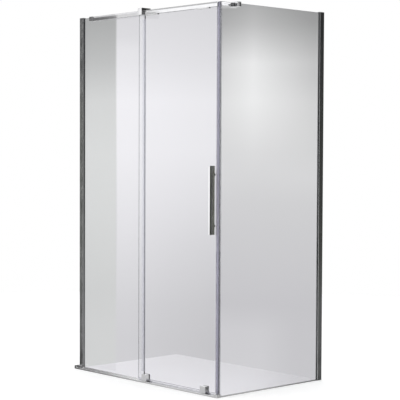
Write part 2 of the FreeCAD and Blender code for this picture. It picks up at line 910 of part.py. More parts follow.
def door_closing_profile():
    outer = half_glass + seal_wall
    body = box(door_right - door_seal_leg, door_close, -outer, outer, door_bottom, door_seal_top)
    body = soften(body, glass_arris, 2)
    glass_slot = box(door_right - door_seal_leg - overrun, door_right, -half_glass, half_glass,
                     door_bottom - overrun, door_seal_top + overrun)
    half_pocket = magnet_wide / 2 + magnet_clear
    pocket = box(door_close - magnet_thick - magnet_clear, door_close + overrun,
                 -half_pocket, half_pocket, door_bottom - overrun, door_seal_top + overrun)
    hollow = box(door_right + seal_wall, door_close - magnet_thick - magnet_clear - seal_wall,
                 -half_glass, half_glass, door_bottom - overrun, door_seal_top + overrun)
    return body.cut(glass_slot).cut(pocket).cut(hollow)


def drip_seal(x0, x1):
    outer = half_glass + drip_wall
    base = door_bottom - drip_wall
    lip_low = sill_high + drip_lip_gap
    outline = [
        (-outer, lip_low),
        (-outer, door_bottom + drip_leg),
        (-half_glass, door_bottom + drip_leg),
        (-half_glass, door_bottom),
        (half_glass, door_bottom),
        (half_glass, door_bottom + drip_leg),
        (outer, door_bottom + drip_leg),
        (outer, base),
        (-half_glass, base),
        (-half_glass, lip_low),
    ]
    return prism([(x0, y, z) for y, z in outline], (x1 - x0, 0, 0))


drip_spans = [
    (door_left, left_shoe - drip_shoe_gap),
    (left_shoe + shoe_long + drip_shoe_gap, right_shoe - drip_shoe_gap),
    (right_shoe + shoe_long + drip_shoe_gap, door_right - door_seal_leg - drip_shoe_gap),
]
save("door_glass", door_glass())
save("door_closing_profile", door_closing_profile())
save("door_closing_magnet", closing_magnet(door_close, -1, door_bottom, door_seal_top))
save("door_drip_seals", [drip_seal(x0, x1) for x0, x1 in drip_spans])


# Hangers, carriages and rollers

roller_z = ledge_top + roller_lift + roller_radius
carriage_low = ledge_top + carriage_lift
carriage_top = carriage_low + carriage_high
hanger_low = door_top - hanger_drop
hanger_top = door_top + hanger_web
roller_inner = slot_half
roller_outer = slot_half + roller_wide


def bolt_places(start):
    middle = start + hanger_long / 2
    return [middle - hanger_bolt_step / 2, middle + hanger_bolt_step / 2]


def axle_places(start):
    middle = start + hanger_long / 2
    return [middle - roller_step / 2, middle + roller_step / 2]


def grub_places(start):
    middle = start + hanger_long / 2
    return [middle - hanger_grub_step / 2, middle + hanger_grub_step / 2]


def hanger(start):
    half = hanger_deep / 2
    body = box(start, start + hanger_long, -half, half, hanger_low, hanger_top)
    body = soften(body, hanger_round, 0)
    body = body.cut(box(start - overrun, start + hanger_long + overrun, -half_glass, half_glass,
                        hanger_low - overrun, door_top))
    for x in bolt_places(start):
        body = body.cut(rod(hanger_bolt_radius, (x, 0, door_top - overrun / 2), (x, 0, hanger_top + overrun)))
    for x in grub_places(start):
        z = hanger_low + hanger_grub_rise
        body = body.cut(rod(hanger_grub_radius, (x, -half - overrun, z), (x, -half_glass + overrun / 2, z)))
    return body


def carriage(start):
    half = carriage_deep / 2
    body = box(start, start + hanger_long, -half, half, carriage_low, carriage_top)
    body = soften(body, hanger_round, 1)
    for x in bolt_places(start):
        body = body.cut(rod(hanger_bolt_radius, (x, 0, carriage_low - overrun),
                            (x, 0, carriage_top + overrun)))
    for x in axle_places(start):
        body = body.cut(rod(axle_radius, (x, -half - overrun, roller_z), (x, half + overrun, roller_z)))
    return body


def axle(x):
    end = roller_outer + axle_end_gap
    pin = rod(axle_radius, (x, -end, roller_z), (x, end, roller_z))
    heads = [rod(axle_head_radius, (x, side * end, roller_z), (x, side * (end + axle_head_thick), roller_z))
             for side in (-1, 1)]
    return pin.fuse(heads).removeSplitter()


def roller_tyre(x, side):
    tyre = rod(roller_radius, (x, side * roller_inner, roller_z), (x, side * roller_outer, roller_z))
    rims = [edge for edge in tyre.Edges if edge.BoundBox.XLength > roller_radius
            and edge.BoundBox.YLength < roller_wide / 2]
    tyre = tyre.makeChamfer(roller_crown, rims)
    bore = rod(bearing_radius, (x, side * (roller_inner - overrun), roller_z),
               (x, side * (roller_outer + overrun), roller_z))
    return tyre.cut(bore)


def roller_bearing(x, side):
    ring = rod(bearing_radius, (x, side * roller_inner, roller_z), (x, side * roller_outer, roller_z))
    bore = rod(axle_radius + axle_clear, (x, side * (roller_inner - overrun), roller_z),
               (x, side * (roller_outer + overrun), roller_z))
    return ring.cut(bore)


def hanger_bolt(x):
    shank = rod(hanger_bolt_radius, (x, 0, door_top), (x, 0, carriage_top))
    head = rod(hanger_bolt_head, (x, 0, carriage_top), (x, 0, carriage_top + hanger_bolt_head_high))
    return shank.fuse(head).removeSplitter()


def hanger_nut(x):
    reach = hanger_nut_flats / math.sqrt(3)
    points = [(x + reach * math.cos(math.radians(60 * i)), reach * math.sin(math.radians(60 * i)),
               hanger_top) for i in range(6)]
    nut = prism(points, (0, 0, hanger_nut_thick))
    return nut.cut(rod(hanger_bolt_radius, (x, 0, hanger_top - overrun),
                       (x, 0, hanger_top + hanger_nut_thick + overrun)))


def hanger_grub(x):
    z = hanger_low + hanger_grub_rise
    return rod(hanger_grub_radius, (x, -hanger_deep / 2, z), (x, -half_glass, z))


roller_number = 0
for name, start in (("left", left_hanger), ("right", right_hanger)):
    save("hanger_" + name, hanger(start))
    save("carriage_" + name, carriage(start))
    for x in axle_places(start):
        roller_number = roller_number + 1
        save("rollers_%d" % roller_number, [roller_tyre(x, side) for side in (-1, 1)])
        save("roller_bearings_%d" % roller_number, [roller_bearing(x, side) for side in (-1, 1)])

all_axles = axle_places(left_hanger) + axle_places(right_hanger)
all_hanger_bolts = bolt_places(left_hanger) + bolt_places(right_hanger)
all_hanger_grubs = grub_places(left_hanger) + grub_places(right_hanger)
save("roller_axles", [axle(x) for x in all_axles])
save("hanger_bolts", [hanger_bolt(x) for x in all_hanger_bolts])
save("hanger_lock_nuts", [hanger_nut(x) for x in all_hanger_bolts])
hanger_grubs = [hanger_grub(x) for x in all_hanger_grubs]


# Guide shoes at the foot of the door

shoe_top = shoe_low + shoe_high
shoe_back_middle = (half_glass + shoe_back) / 2


def shoe_form(start):
    body = box(start, start + shoe_long, -shoe_front, shoe_back, shoe_low, shoe_top)
    return body.makeFillet(shoe_round, body.Edges)


def shoe_back_place(start):
    return box(start - overrun, start + shoe_long + overrun, half_glass, shoe_back + overrun,
               shoe_step, shoe_top + overrun)


def shoe_ridge(x0, x1, clear):
    """A dovetail ridge on the step; with a clearance it is the groove over the ridge."""
    outline = [
        (shoe_back_middle - shoe_ridge_foot - clear, shoe_step),
        (shoe_back_middle - shoe_ridge_head - clear, shoe_step + shoe_ridge_high + clear),
        (shoe_back_middle + shoe_ridge_head + clear, shoe_step + shoe_ridge_high + clear),
        (shoe_back_middle + shoe_ridge_foot + clear, shoe_step),
    ]
    return prism([(x0, y, z) for y, z in outline], (x1 - x0, 0, 0))


def guide_shoe(start):
    body = shoe_form(start).cut(shoe_back_place(start))
    body = body.fuse(shoe_ridge(start + shoe_round, start + shoe_long - shoe_round, 0)).removeSplitter()
    body = body.cut(box(start - overrun, start + shoe_long + overrun, -half_glass, half_glass,
                        door_bottom, shoe_top + overrun))
    return body.cut(box(start - overrun, start + shoe_long + overrun, -insert_half, insert_half,
                        shoe_low - overrun, shoe_low + insert_high))


def shoe_back_plate(start):
    """The plate behind the glass, slid over the ridge, with the hole of its grub screw."""
    plate = shoe_form(start).common(shoe_back_place(start))
    plate = plate.cut(shoe_ridge(start - overrun, start + shoe_long + overrun, shoe_ridge_clear))
    screw_z = shoe_low + shoe_screw_rise
    middle = start + shoe_long / 2
    return plate.cut(rod(shoe_screw_radius, (middle, half_glass - overrun / 2, screw_z),
                         (middle, shoe_back + overrun, screw_z)))


def shoe_insert(start):
    groove = guide_rib_wide / 2 + rib_clear
    body = box(start, start + shoe_long, -insert_half, insert_half, shoe_low, shoe_low + insert_high)
    return body.cut(box(start - overrun, start + shoe_long + overrun, -groove, groove,
                        shoe_low - overrun, shoe_low + insert_high - insert_top))


def shoe_screw(start):
    middle = start + shoe_long / 2
    screw_z = shoe_low + shoe_screw_rise
    return grub(shoe_screw_radius, grub_socket, (middle, half_glass, screw_z),
                (middle, shoe_back - grub_sunk, screw_z))


save("guide_shoe_left", guide_shoe(left_shoe))
save("guide_shoe_right", guide_shoe(right_shoe))
save("guide_shoe_inserts", [shoe_insert(left_shoe), shoe_insert(right_shoe)])
save("guide_shoe_backs", [shoe_back_plate(left_shoe), shoe_back_plate(right_shoe)])
shoe_grubs = [shoe_screw(left_shoe), shoe_screw(right_shoe)]


# Handle: a fin outside, held through the glass by two bolts with a disc each inside

handle_low = handle_middle - handle_long / 2
handle_high = handle_middle + handle_long / 2
handle_seat = half_glass + handle_pad
handle_face = half_glass + handle_proud
handle_grub_heights = [handle_low + handle_grub_inset, handle_high - handle_grub_inset]


def handle_rod(radius, y0, y1, height):
    return rod(radius, (handle_x, y0, height), (handle_x, y1, height))


def outer_handle():
    body = box(handle_left, handle_right, -handle_face, -handle_seat, handle_low, handle_high)
    body = body.makeFillet(handle_edge, body.Edges)
    middle = -(handle_face + handle_seat) / 2
    recess = box(handle_right - recess_deep, handle_right + overrun,
                 middle - recess_wide / 2, middle + recess_wide / 2,
                 handle_low + recess_margin + handle_grub_inset,
                 handle_high - recess_margin - handle_grub_inset)
    body = body.cut(recess)
    for height in handle_bolt_heights:
        body = body.cut(handle_rod(handle_bolt_radius, -handle_seat - handle_bolt_bite,
                                         overrun, height))
    for height in handle_grub_heights:
        body = body.cut(rod(handle_grub_radius, (handle_right - handle_grub_long, middle, height),
                            (handle_right + overrun, middle, height)))
    return body


def inner_disc(height):
    back = handle_seat + inner_disc_thick
    disc = handle_rod(inner_disc_radius, handle_seat, back, height)
    rim = [edge for edge in disc.Edges if abs(edge.Vertexes[0].Point.y - back) < inner_disc_edge]
    disc = disc.makeFillet(inner_disc_edge, [rim[0]])
    disc = disc.cut(handle_rod(handle_bolt_radius, 0, back + overrun, height))
    return disc.cut(handle_rod(handle_bolt_head, back - handle_bolt_head_high, back + overrun, height))


def handle_bolt(height):
    seat = handle_seat + inner_disc_thick - handle_bolt_head_high
    shank = handle_rod(handle_bolt_radius, -handle_seat - handle_bolt_bite, seat, height)
    head = handle_rod(handle_bolt_head, seat, seat + handle_bolt_head_high, height)
    socket = handle_rod(grub_socket, seat + handle_bolt_head_high / 3,
                              seat + handle_bolt_head_high + overrun, height)
    return shank.fuse(head).removeSplitter().cut(socket)


def handle_bush(height):
    bush = handle_rod(handle_hole_radius, -half_glass, half_glass, height)
    return bush.cut(handle_rod(handle_bolt_radius, -half_glass - overrun,
                                     half_glass + overrun, height))


def outer_liner():
    liner = box(handle_left + handle_edge, handle_right - handle_edge, -handle_seat, -half_glass,
                handle_low + handle_edge, handle_high - handle_edge)
    for height in handle_bolt_heights:
        liner = liner.cut(handle_rod(handle_bolt_radius, -handle_seat - overrun, overrun, height))
    return liner


def disc_liner(height):
    liner = handle_rod(inner_disc_radius - handle_edge / 2, half_glass, handle_seat, height)
    return liner.cut(handle_rod(handle_bolt_radius, 0, handle_seat + overrun, height))


def handle_grub(height):
    middle = -(handle_face + handle_seat) / 2
    return rod(handle_grub_radius, (handle_right - handle_grub_long, middle, height),
               (handle_right - handle_edge / 2, middle, height))


save("handle_outer", outer_handle())
save("handle_inner_discs", [inner_disc(height) for height in handle_bolt_heights])
save("handle_bolts", [handle_bolt(height) for height in handle_bolt_heights])
handle_bushes = [handle_bush(height) for height in handle_bolt_heights]
disc_liners = [disc_liner(height) for height in handle_bolt_heights]
save("handle_liners", handle_bushes + disc_liners + [outer_liner()])
handle_grubs = [handle_grub(height) for height in handle_grub_heights]
save("door_grub_screws", hanger_grubs + shoe_grubs + handle_grubs)
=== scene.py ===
import json
import math

import bmesh
import bpy
from mathutils import Matrix, Vector


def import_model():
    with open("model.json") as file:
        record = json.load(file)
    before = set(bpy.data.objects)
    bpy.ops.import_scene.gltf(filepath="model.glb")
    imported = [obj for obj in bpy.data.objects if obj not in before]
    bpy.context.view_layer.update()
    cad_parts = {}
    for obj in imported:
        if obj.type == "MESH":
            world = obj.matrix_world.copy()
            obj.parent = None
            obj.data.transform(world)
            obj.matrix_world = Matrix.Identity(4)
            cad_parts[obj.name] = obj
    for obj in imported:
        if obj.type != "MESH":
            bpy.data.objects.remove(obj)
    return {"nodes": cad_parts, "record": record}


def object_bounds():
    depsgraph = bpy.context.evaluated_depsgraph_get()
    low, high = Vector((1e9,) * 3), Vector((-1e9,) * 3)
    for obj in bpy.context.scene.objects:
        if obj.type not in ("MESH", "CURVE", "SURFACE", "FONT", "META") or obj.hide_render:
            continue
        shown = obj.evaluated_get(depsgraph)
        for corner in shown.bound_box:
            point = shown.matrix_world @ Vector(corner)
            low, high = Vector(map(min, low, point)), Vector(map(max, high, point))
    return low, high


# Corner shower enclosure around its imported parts. Everything is in metres, in the parts' own frame.

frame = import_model()
nodes = frame["nodes"]
cad_low, cad_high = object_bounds()

# Camera, fitted to the straight edges of the enclosure
camera_place = Vector((5.2106, -4.4069, 1.2432))
camera_yaw = 0.8251
camera_pitch = -0.0377
camera_roll = 0.0041
camera_lens = 114.07
sensor_width = 36.0
nearest_seen = 0.1
farthest_seen = 100.0

# Lamps, square and aimed at one point of the enclosure
lamp_aim = Vector((0.0, 0.3, 0.9))
lamp_size = 3.0
key_place = Vector((-1.5, -4.0, 4.5))
key_power = 90.0
fill_place = Vector((4.5, 1.0, 4.0))
fill_power = 45.0

# Floor, with other tones inside the enclosure, where only the panes show it: painted shade in a darker floor
# and a painted glow, stronger at the front
floor_drop = 0.0005
floor_radius = 4.5
floor_rings = 12
floor_sides = 96
floor_roughness = 0.6
floor_tones = ((0.80, 0.80, 0.81, 1.0), (0.84, 0.84, 0.84, 1.0))
floor_glow = 0.32
inside_shaded_tones = ((0.48, 0.47, 0.49, 1.0), (0.50, 0.49, 0.51, 1.0))
inside_glow_colour = (0.97, 0.955, 1.0, 1.0)
inside_glow_depth = 0.75
inside_glow_front = 0.48
inside_glow_back = 0.28
inside_softness = 0.002

# Finishes
white = (1.0, 1.0, 1.0, 1.0)
noise_low = 0.3
noise_high = 0.7

glass_index = 1.5
glass_tints = ((0.955, 0.957, 0.965, 1.0), (0.945, 0.950, 0.955, 1.0))
glass_shadow_colour = (0.88, 0.90, 0.89, 1.0)
# Edge tints: painted shade on the ground edges, dark near the floor and paler higher up
low_edge_shaded_tint = (0.11, 0.11, 0.13, 1.0)
high_edge_tint = (0.60, 0.62, 0.66, 1.0)
low_edge_height = 0.5
high_edge_height = 1.7
edge_facing_start = 0.85
edge_facing_end = 0.95
ground_roughness = (0.18, 0.32)
front_panes_end = 0.1
side_pane_start = 0.575

chrome_colour = (0.86, 0.86, 0.87, 1.0)
chrome_haze_colour = (0.80, 0.80, 0.82, 1.0)
chrome_haze_start = 0.35
chrome_roughness = (0.01, 0.04)
right_facing_start = 0.5
right_facing_end = 0.7
# Painted reflection: a darker, greenish tone on the handle's faces turned to the right
handle_side_painted_reflection = (0.50, 0.52, 0.43, 1.0)
# Painted light: a paler, matt tone inside the header rail's slot, lifting its shade
rail_inside_painted_light = (0.93, 0.93, 0.94, 1.0)
rail_inside_roughness = 0.7
rail_inside_half_depth = 0.0105
rail_inside_top = 1.999

wall_aluminium_colour = (0.72, 0.725, 0.73, 1.0)
wall_aluminium_roughness = 0.09
sill_aluminium_colour = (0.92, 0.92, 0.93, 1.0)
sill_aluminium_roughness = 0.13
drawn_stretch = 0.012
drawn_dark_share = 0.86
drawn_pale_share = 1.12
drawn_pale_most = 0.3
drawn_cloud_end = 0.8
drawn_roughness_spread = 0.05
cloud_roughness_spread = 0.03

steel_colours = ((0.60, 0.60, 0.61, 1.0), (0.50, 0.50, 0.51, 1.0))
steel_roughness = (0.18, 0.32)

seal_colours = ((0.70, 0.69, 0.80, 1.0), (0.80, 0.79, 0.89, 1.0))
seal_roughness = (0.12, 0.25)
front_seal_veil = (0.17, 0.22)
side_seal_veil = (0.03, 0.06)

magnet_colour = (0.27, 0.265, 0.33, 1.0)
rubber_colour = (0.075, 0.075, 0.08, 1.0)
grey_plastic_colour = (0.10, 0.10, 0.105, 1.0)
roller_colour = (0.78, 0.78, 0.75, 1.0)
moulded_pale_share = 1.25
moulded_pale_most = 0.6
moulded_roughness_spread = 0.08

# Surroundings, by direction. Sides are degrees between the depth axis and a direction, seen from above;
# heights are the z of a direction of length one. A pair of sides or heights is where a tone starts and
# ends, or where its two levels lie, and a fade is where a tone comes in or goes. A softness is in z
# unless its name says side. Above this many mirror bounces, a ray has come off metal or glass.
mirror_bounces = 0.5
plain_level = 0.86
side_softness = 0.08
left_border = 51.1
right_border = 46.35

# Tones behind the panes: at the left, in the middle and at the side
left_view_sides = (left_border, 75)
left_view_colour = (0.99, 1.0, 0.995, 1.0)
left_view_curve = [(-0.30, 0.86), (-0.15, 0.75), (-0.11, 0.73), (-0.04, 0.81), (0.0, 0.83), (0.04, 0.77),
                   (0.07, 0.60), (0.10, 0.49), (0.13, 0.45)]
middle_view_colour = (0.975, 0.965, 1.0, 1.0)
middle_view_curve = [(-0.30, 0.80), (-0.15, 0.67), (-0.12, 0.69), (-0.04, 0.82), (0.0, 0.90), (0.04, 0.92),
                     (0.07, 0.82), (0.13, 0.68)]
corner_shade_fade = (right_border, 50.5)
corner_shade_heights = (-0.08, 0.0)
corner_shade_levels = (0.87, 0.93)
side_view_sides = (25, right_border)
side_view_curve = [(-0.30, 0.75), (-0.15, 0.67), (-0.12, 0.66), (-0.04, 0.74), (0.0, 0.83), (0.04, 0.98),
                   (0.07, 0.95), (0.10, 0.60), (0.13, 0.40)]
side_view_low_colour = (0.975, 0.965, 1.0, 1.0)
side_view_low_fade = (0.02, -0.12)
spot_side = 44.9
spot_spread = 2.7
spot_fade = (-0.02, 0.06)
spot_surround = 0.68

# Tones that metal and glass reflect where nothing below says otherwise
mirrored_curve = [(-0.4, 0.62), (0.0, 0.66), (0.13, 0.70), (0.165, 0.95), (0.2, 0.95), (0.26, 0.74),
                  (0.6, 0.95), (1.0, 0.95)]
pale_floor_sides = (40, 52)
pale_floor_heights = (-0.16, -0.08)
pale_floor_softness = 0.01
pale_floor_level = 1.0

# Bright stretch at the front, its left end and a darker patch on it
bright_sides = (-30, left_border)
bright_curve = [(-0.5, 0.62), (-0.17, 0.62), (-0.12, 0.78), (-0.04, 1.18), (0.08, 1.15), (0.3, 1.2),
                (0.42, 0.72), (0.8, 0.62)]
bright_end_sides = (50.1, left_border)
bright_end_fade = (0.08, 0.09)
bright_end_level = 0.78
patch_sides = (49.2, 49.85)
patch_heights = (0.104, 0.1092)
patch_softness = 0.0003
patch_level = 0.55

# High up past the bright stretch: two grey tones and a bright strip between them
above_sides = (left_border, 75)
above_fade = (0.33, 0.35)
above_change_sides = (56.4, 56.6)
above_change_levels = (0.57, 0.75)
above_strip_sides = (56.0, 57.07)
above_strip_level = 0.95

# Dark stretches beside the bright one, greenish in their middle
dark_curve = [(-0.6, 0.45), (-0.3, 0.12), (-0.17, 0.04), (-0.14, 0.12), (0.0, 0.12), (0.1, 0.07),
              (0.2, 0.05), (0.38, 0.45), (0.8, 0.6)]
dark_tint = (0.97, 1.0, 0.93, 1.0)
dark_tint_heights = (-0.09, 0.03)
dark_tint_softness = 0.03
back_dark_sides = (left_border, 70)
back_dark_heights = (0.05, 0.35)
back_dark_softness = 0.05
past_bright_sides = (left_border, 80)
past_bright_fade = (0.34, 0.28)
near_bright_side_fade = (52.4, 52.2)
near_bright_fade = (0.0, 0.05)
near_bright_glow_heights = (0.1042, 0.1058)
near_bright_glow = (2.6, 6.0)
high_dark_sides = (25, 75)
high_dark_side_softness = 20
high_dark_fade = (-0.12, -0.05)
low_dark_sides = (25, 46.9)
low_dark_side_softness = 2.8
side_dark_heights = (-0.12, -0.06)
side_dark_levels = (1.0, 0.5)

# Greys beside the dark stretches, the tone just before the bright one, and two strips high up
low_grey_side_fade = (42.9, 44.5)
low_grey_side_end = (46.7, 46.6)
low_grey_fade = (-0.12, -0.14)
low_grey_level = 0.6
far_grey_side_fade = (51.4, 51.6)
far_grey_curve = [(-0.2, 0.78), (-0.16, 0.75), (-0.12, 0.63), (-0.04, 0.42), (0.04, 0.30), (0.1, 0.16),
                  (0.2, 0.12)]
before_bright_sides = (38, 45.8)
before_bright_side_fade = (45.1, 45.3)
before_bright_fade = (0.111, 0.113)
before_bright_levels = (0.40, 0.95)
strip_sides = (45.66, 47.5)
strip_heights = (0.1125, 0.16)
strip_softness = 0.0005
high_strip_sides = (36, 44)
high_strip_heights = (0.36, 0.52)
high_strip_softness = 0.01
strip_level = 1.2


class Shader:
    """A small builder for one node tree."""

    def __init__(self, tree):
        self.tree = tree
        self.tree.nodes.clear()

    def add(self, kind, values=None, **settings):
        node = self.tree.nodes.new(kind)
        for name, value in settings.items():
            setattr(node, name, value)
        for name, value in (values or {}).items():
            self.connect(node.inputs[name], value)
        return node

    def connect(self, socket, value):
        """Links another node's output, or sets a plain value."""
        if isinstance(value, bpy.types.NodeSocket):
            self.tree.links.new(value, socket)
        else:
            socket.default_value = value

    def math(self, operation, first, second=0.0):
        return self.add("ShaderNodeMath", {0: first, 1: second}, operation=operation).outputs[0]

    def times(self, first, second):
        return self.math("MULTIPLY", first, second)

    def highest(self, first, second):
        return self.math("MAXIMUM", first, second)

    def split(self, vector):
        return self.add("ShaderNodeSeparateXYZ", {"Vector": vector}).outputs

    def span(self, value, low, high, to_low=0.0, to_high=1.0):
        """Maps low..high to to_low..to_high, and keeps within them."""
        values = {"Value": value, "From Min": low, "From Max": high, "To Min": to_low, "To Max": to_high}
        return self.add("ShaderNodeMapRange", values).outputs["Result"]

    def vary(self, noise, to_low=0.0, to_high=1.0):
        """Maps the middle part of a noise to to_low..to_high."""
        return self.span(noise, noise_low, noise_high, to_low, to_high)

    def turn(self, angle, degrees, to_low=0.0, to_high=1.0):
        """Maps a pair of angles in degrees to to_low..to_high."""
        low, high = [math.radians(value) for value in degrees]
        return self.span(angle, low, high, to_low, to_high)

    def between(self, value, low, high, soft):
        """One from low to high, and falling to zero over a soft border beyond them."""
        return self.times(self.span(value, low - soft, low), self.span(value, high + soft, high))

    def sector(self, angle, degrees, soft=side_softness):
        """One between a pair of angles in degrees, with a soft border."""
        low, high = [math.radians(value) for value in degrees]
        return self.between(angle, low, high, math.radians(soft))

    def ramp(self, value, stops):
        """A curve through (place, level) pairs, places in the value's own units."""
        low = stops[0][0]
        high = stops[-1][0]
        node = self.add("ShaderNodeValToRGB", {"Fac": self.span(value, low, high)})
        elements = node.color_ramp.elements
        while len(elements) < len(stops):
            elements.new(0.5)
        for element, (place, level) in zip(elements, stops):
            element.position = (place - low) / (high - low)
            element.color = (level, level, level, 1.0)
        return node.outputs["Color"]

    def mix(self, share, first, second):
        values = {"Factor": share, "A": first, "B": second}
        return self.add("ShaderNodeMix", values, data_type="FLOAT").outputs["Result"]

    def mix_colour(self, share, first, second):
        node = self.add("ShaderNodeMix", data_type="RGBA")
        sockets = {socket.identifier: socket for socket in node.inputs}
        for name, value in (("Factor_Float", share), ("A_Color", first), ("B_Color", second)):
            self.connect(sockets[name], value)
        return [socket for socket in node.outputs if socket.identifier == "Result_Color"][0]

    def place(self):
        return self.add("ShaderNodeNewGeometry").outputs["Position"]

    def noise(self, vector, scale, detail=3.0, roughness=0.5):
        values = {"Vector": vector, "Scale": scale, "Detail": detail, "Roughness": roughness}
        return self.add("ShaderNodeTexNoise", values).outputs["Fac"]

    def stretched(self, vector, share, axis=2):
        """Scales one axis, so that a pattern is drawn out along it."""
        scale = [1.0, 1.0, 1.0]
        scale[axis] = share
        return self.add("ShaderNodeMapping", {"Vector": vector, "Scale": scale}).outputs["Vector"]

    def bump(self, height, strength, distance):
        values = {"Height": height, "Strength": strength, "Distance": distance}
        return self.add("ShaderNodeBump", values).outputs["Normal"]

    def surface(self, colour, roughness, normal=None, **extra):
        """A surface whose linked or plain values are given by socket name."""
        values = {"Base Color": colour, "Roughness": roughness}
        if normal is not None:
            values["Normal"] = normal
        values.update(extra)
        return self.add("ShaderNodeBsdfPrincipled", values)

    def finish(self, output):
        self.add("ShaderNodeOutputMaterial", {"Surface": output})


def new_material(name):
    material = bpy.data.materials.new(name)
    material.use_nodes = True
    return material, Shader(material.node_tree)


# Materials


def glass_material():
    """Clear toughened glass, with edges mostly finished by grinding and tinted with painted shade, darker
    towards the floor.
    """
    material, s = new_material("clear_glass")
    geometry = s.add("ShaderNodeNewGeometry")
    place = geometry.outputs["Position"]
    spot = s.split(place)
    facing = s.split(geometry.outputs["True Normal"])
    sideways = s.math("ABSOLUTE", facing["X"])
    forward = s.math("ABSOLUTE", facing["Y"])
    front_edge = s.times(s.span(sideways, edge_facing_start, edge_facing_end),
                         s.math("LESS_THAN", spot["X"], front_panes_end))
    side_edge = s.times(s.span(forward, edge_facing_start, edge_facing_end),
                        s.math("GREATER_THAN", spot["X"], side_pane_start))
    level_edge = s.span(s.highest(sideways, forward), edge_facing_end, edge_facing_start)
    edge = s.highest(level_edge, s.highest(front_edge, side_edge))
    # Painted shade: the edges' tint darkens towards the floor.
    edge_tint_and_painted_shade = s.mix_colour(s.span(spot["Z"], low_edge_height, high_edge_height), low_edge_shaded_tint, high_edge_tint)
    cloud = s.noise(place, scale=1.7, detail=2.0)
    tint = s.mix_colour(edge, s.mix_colour(s.vary(cloud), *glass_tints), edge_tint_and_painted_shade)
    grain = s.noise(place, scale=900.0, detail=2.0)
    waves = s.noise(s.stretched(place, share=0.35), scale=2.2, detail=1.0)
    faces = s.surface(tint, s.mix(edge, 0.0, s.vary(grain, *ground_roughness)),
                      s.bump(waves, strength=0.25, distance=0.0006))
    faces.inputs["IOR"].default_value = glass_index
    faces.inputs["Transmission Weight"].default_value = 1.0
    clear = s.add("ShaderNodeBsdfTransparent", {"Color": glass_shadow_colour})
    light = s.add("ShaderNodeLightPath")
    mixed = s.add("ShaderNodeMixShader", {
        0: light.outputs["Is Shadow Ray"],
        1: faces.outputs["BSDF"],
        2: clear.outputs["BSDF"],
    })
    s.finish(mixed.outputs["Shader"])
    return material


def chrome_material(name, right_face_painted_reflection, inside_half_depth=0.0):
    """Mirror plating with faint waves and a thin haze; faces turned to the right take a given tone, a painted
    reflection that is darker and greenish on the handle.

    Where a half depth is given, what lies within it of the front plane, below the top of the rail, is left
    matt and given a paler tone, painted light that lifts the shade in the rail's slot.
    """
    material, s = new_material(name)
    geometry = s.add("ShaderNodeNewGeometry")
    place = geometry.outputs["Position"]
    spot = s.split(place)
    facing = s.split(geometry.outputs["True Normal"])
    haze = s.noise(place, scale=35.0, detail=4.0, roughness=0.6)
    waves = s.noise(place, scale=14.0, detail=2.0)
    tone = s.mix_colour(s.span(haze, chrome_haze_start, noise_high), chrome_colour, chrome_haze_colour)
    # Painted reflection on faces turned to the right, where a tone other than the plating is given.
    tone = s.mix_colour(s.span(facing["X"], right_facing_start, right_facing_end), tone, right_face_painted_reflection)
    # Painted light: inside the slot the plating is paler and matt.
    matt = s.times(s.math("LESS_THAN", s.math("ABSOLUTE", spot["Y"]), inside_half_depth),
                   s.math("LESS_THAN", spot["Z"], rail_inside_top))
    plated = s.surface(s.mix_colour(matt, tone, rail_inside_painted_light),
                       s.mix(matt, s.vary(haze, *chrome_roughness), rail_inside_roughness),
                       s.bump(waves, strength=0.02, distance=0.0002))
    plated.inputs["Metallic"].default_value = 1.0
    s.finish(plated.outputs["BSDF"])
    return material


def scaled(colour, share):
    return [share * part for part in colour[:3]] + [1.0]


def drawn_material(name, colour, along, roughness):
    """Anodised aluminium with fine lines along the axis that it was drawn on."""
    material, s = new_material(name)
    place = s.place()
    lines = s.noise(s.stretched(place, drawn_stretch, along), scale=1400.0, detail=3.0, roughness=0.7)
    cloud = s.noise(place, scale=9.0, detail=3.0)
    tone = s.mix_colour(s.vary(lines), scaled(colour, drawn_dark_share), colour)
    pale = s.span(cloud, noise_low, drawn_cloud_end, 0.0, drawn_pale_most)
    tone = s.mix_colour(pale, tone, scaled(colour, drawn_pale_share))
    line_roughness = s.vary(lines, roughness - drawn_roughness_spread, roughness + drawn_roughness_spread)
    cloud_roughness = s.vary(cloud, -cloud_roughness_spread, cloud_roughness_spread)
    metal = s.surface(tone, s.math("ADD", line_roughness, cloud_roughness),
                      s.bump(lines, strength=0.12, distance=0.0001))
    metal.inputs["Metallic"].default_value = 1.0
    s.finish(metal.outputs["BSDF"])
    return material


def steel_material():
    """Bright stainless steel with turned marks."""
    material, s = new_material("steel")
    marks = s.noise(s.place(), scale=2600.0, detail=3.0, roughness=0.6)
    metal = s.surface(s.mix_colour(s.vary(marks), *steel_colours), s.vary(marks, *steel_roughness),
                      s.bump(marks, strength=0.15, distance=0.00005))
    metal.inputs["Metallic"].default_value = 1.0
    s.finish(metal.outputs["BSDF"])
    return material


def seal_material():
    """Soft plastic: a thin veil, clearer on the side pane, milkier where the haze along it is thick."""
    material, s = new_material("clear_seal")
    place = s.place()
    milk = s.noise(s.stretched(place, share=0.15), scale=60.0, detail=3.0)
    fine = s.noise(s.stretched(place, share=0.02), scale=1500.0, detail=2.0)
    on_side_pane = s.math("GREATER_THAN", s.split(place)["X"], side_pane_start)
    veil = s.mix(on_side_pane, s.vary(milk, *front_seal_veil), s.vary(milk, *side_seal_veil))
    soft = s.surface(s.mix_colour(s.vary(milk), *seal_colours), s.vary(fine, *seal_roughness),
                     s.bump(fine, strength=0.1, distance=0.0001), Alpha=veil)
    s.finish(soft.outputs["BSDF"])
    return material


